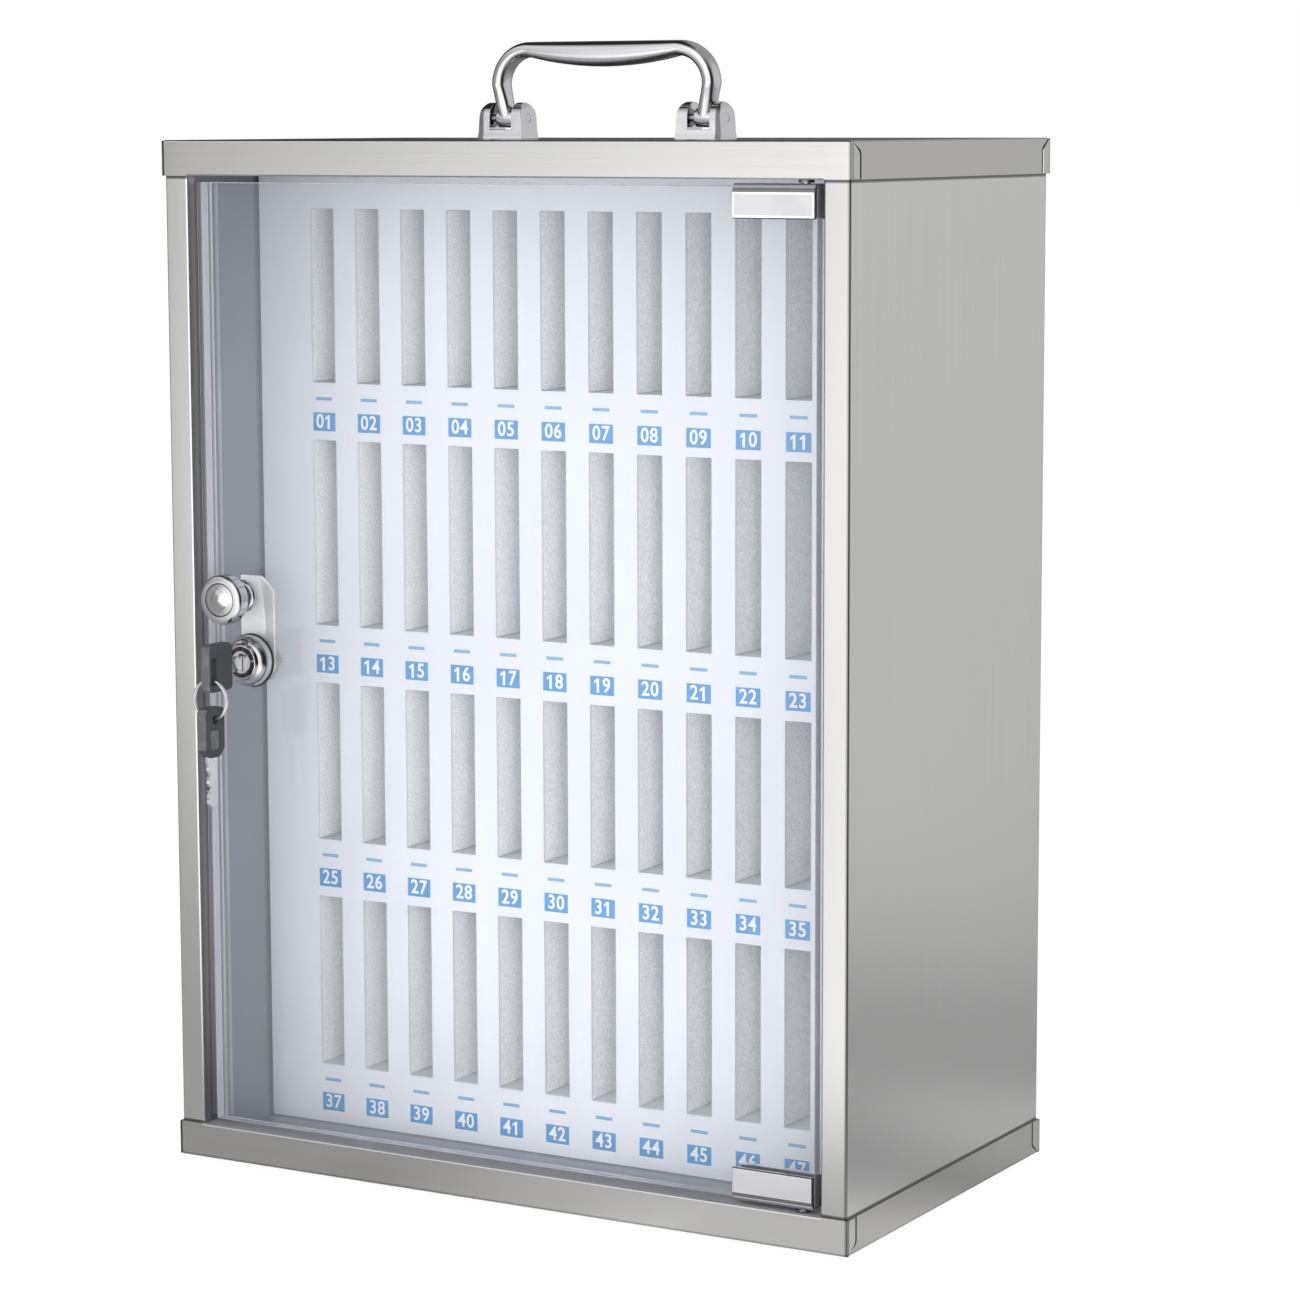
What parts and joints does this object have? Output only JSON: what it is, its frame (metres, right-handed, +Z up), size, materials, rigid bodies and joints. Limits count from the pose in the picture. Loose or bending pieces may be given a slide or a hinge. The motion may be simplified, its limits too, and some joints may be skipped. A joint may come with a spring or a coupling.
{
  "type": "cell phone locker box",
  "caption": "Stainless cabinet with a rack of narrow foam-lined phone pockets behind a lockable clear door on pivot clamps, with a folding carry handle.",
  "frame": {"origin": "centre of the underside of the bottom cap", "axes": "+Z up, the door faces -Y, the door's pivots are on the +X side"},
  "size_m": [0.372, 0.2491, 0.5465],
  "materials": {
    "steel_sheet": "fine brushed stainless sheet",
    "printed_panel": "white printed panel with blue number squares",
    "white_board": "white board",
    "foam": "speckled grey foam",
    "clear_pane": "clear polished pane",
    "chrome": "bright chrome plate",
    "zinc_steel": "zinc-plated steel",
    "plug_metal": "satin nickel",
    "key_steel": "nickel-plated steel",
    "black_plastic": "black moulded plastic",
    "black_rubber": "black rubber"
  },
  "bodies": {
    "cabinet": {"top_cap": "steel_sheet", "bottom_cap": "steel_sheet", "left_side_panel": "steel_sheet", "right_side_panel": "steel_sheet", "back_panel": "steel_sheet", "floor_panel": "steel_sheet", "slot_panel": "printed_panel", "rail_boards": "white_board", "end_boards": "white_board", "divider_boards": "white_board", "shelf_boards": "white_board", "rack_back_board": "white_board", "foam_pads": "foam", "handle_bracket_left": "chrome", "handle_bracket_right": "chrome", "handle_pins": "chrome", "upper_pivot_bush": "chrome", "lower_pivot_bush": "chrome", "handle_screws": "zinc_steel"},
    "door": {"door_pane": "clear_pane", "upper_clamp": "chrome", "lower_clamp": "chrome", "clamp_liners": "black_rubber", "clamp_screws": "zinc_steel", "knob": "chrome", "knob_rosette": "chrome", "knob_screw": "zinc_steel", "knob_washer": "zinc_steel", "lock_housing": "chrome", "lock_face_ring": "black_plastic", "lock_gasket": "black_rubber", "lock_plate": "zinc_steel", "lock_nut": "zinc_steel"},
    "lock_plug": {"lock_plug": "plug_metal", "lock_cam": "zinc_steel", "cam_washer": "zinc_steel", "cam_screw": "zinc_steel"},
    "key": {"key_blade": "key_steel", "key_bow": "black_plastic"},
    "key_ring": {"key_ring": "key_steel"},
    "spare_key": {"spare_blade": "key_steel", "spare_bow": "black_plastic"},
    "handle": {"handle_bail": "chrome"}
  },
  "joints": [
    {"name": "door_hinge", "type": "hinge", "parent": "cabinet", "child": "door", "pos_m": [0.1607, -0.0995, 0.25], "axis": [0, 0, 1], "range_deg": [0, 110]},
    {"name": "lock_turn", "type": "hinge", "parent": "door", "child": "lock_plug", "pos_m": [-0.1395, -0.105, 0.2505], "axis": [0, -1, 0], "range_deg": [0, 90]},
    {"name": "key_pull", "type": "slide", "parent": "lock_plug", "child": "key", "axis": [0, -1, 0], "range_m": [0, 0.02]},
    {"name": "ring_hang", "type": "hinge", "parent": "key", "child": "key_ring", "pos_m": [-0.1395, -0.1366, 0.2408], "axis": [0, -1, 0], "range_deg": [-90, 0]},
    {"name": "spare_swing", "type": "hinge", "parent": "key_ring", "child": "spare_key", "pos_m": [-0.1395, -0.1366, 0.2257], "axis": [1, 0, 0], "range_deg": [-40, 40]},
    {"name": "handle_fold", "type": "hinge", "parent": "cabinet", "child": "handle", "pos_m": [0, 0, 0.51], "axis": [1, 0, 0], "range_deg": [-90, 90]}
  ],
  "couplings": [
    {"joint": "ring_hang", "follows": "lock_turn", "ratio": -1}
  ]
}
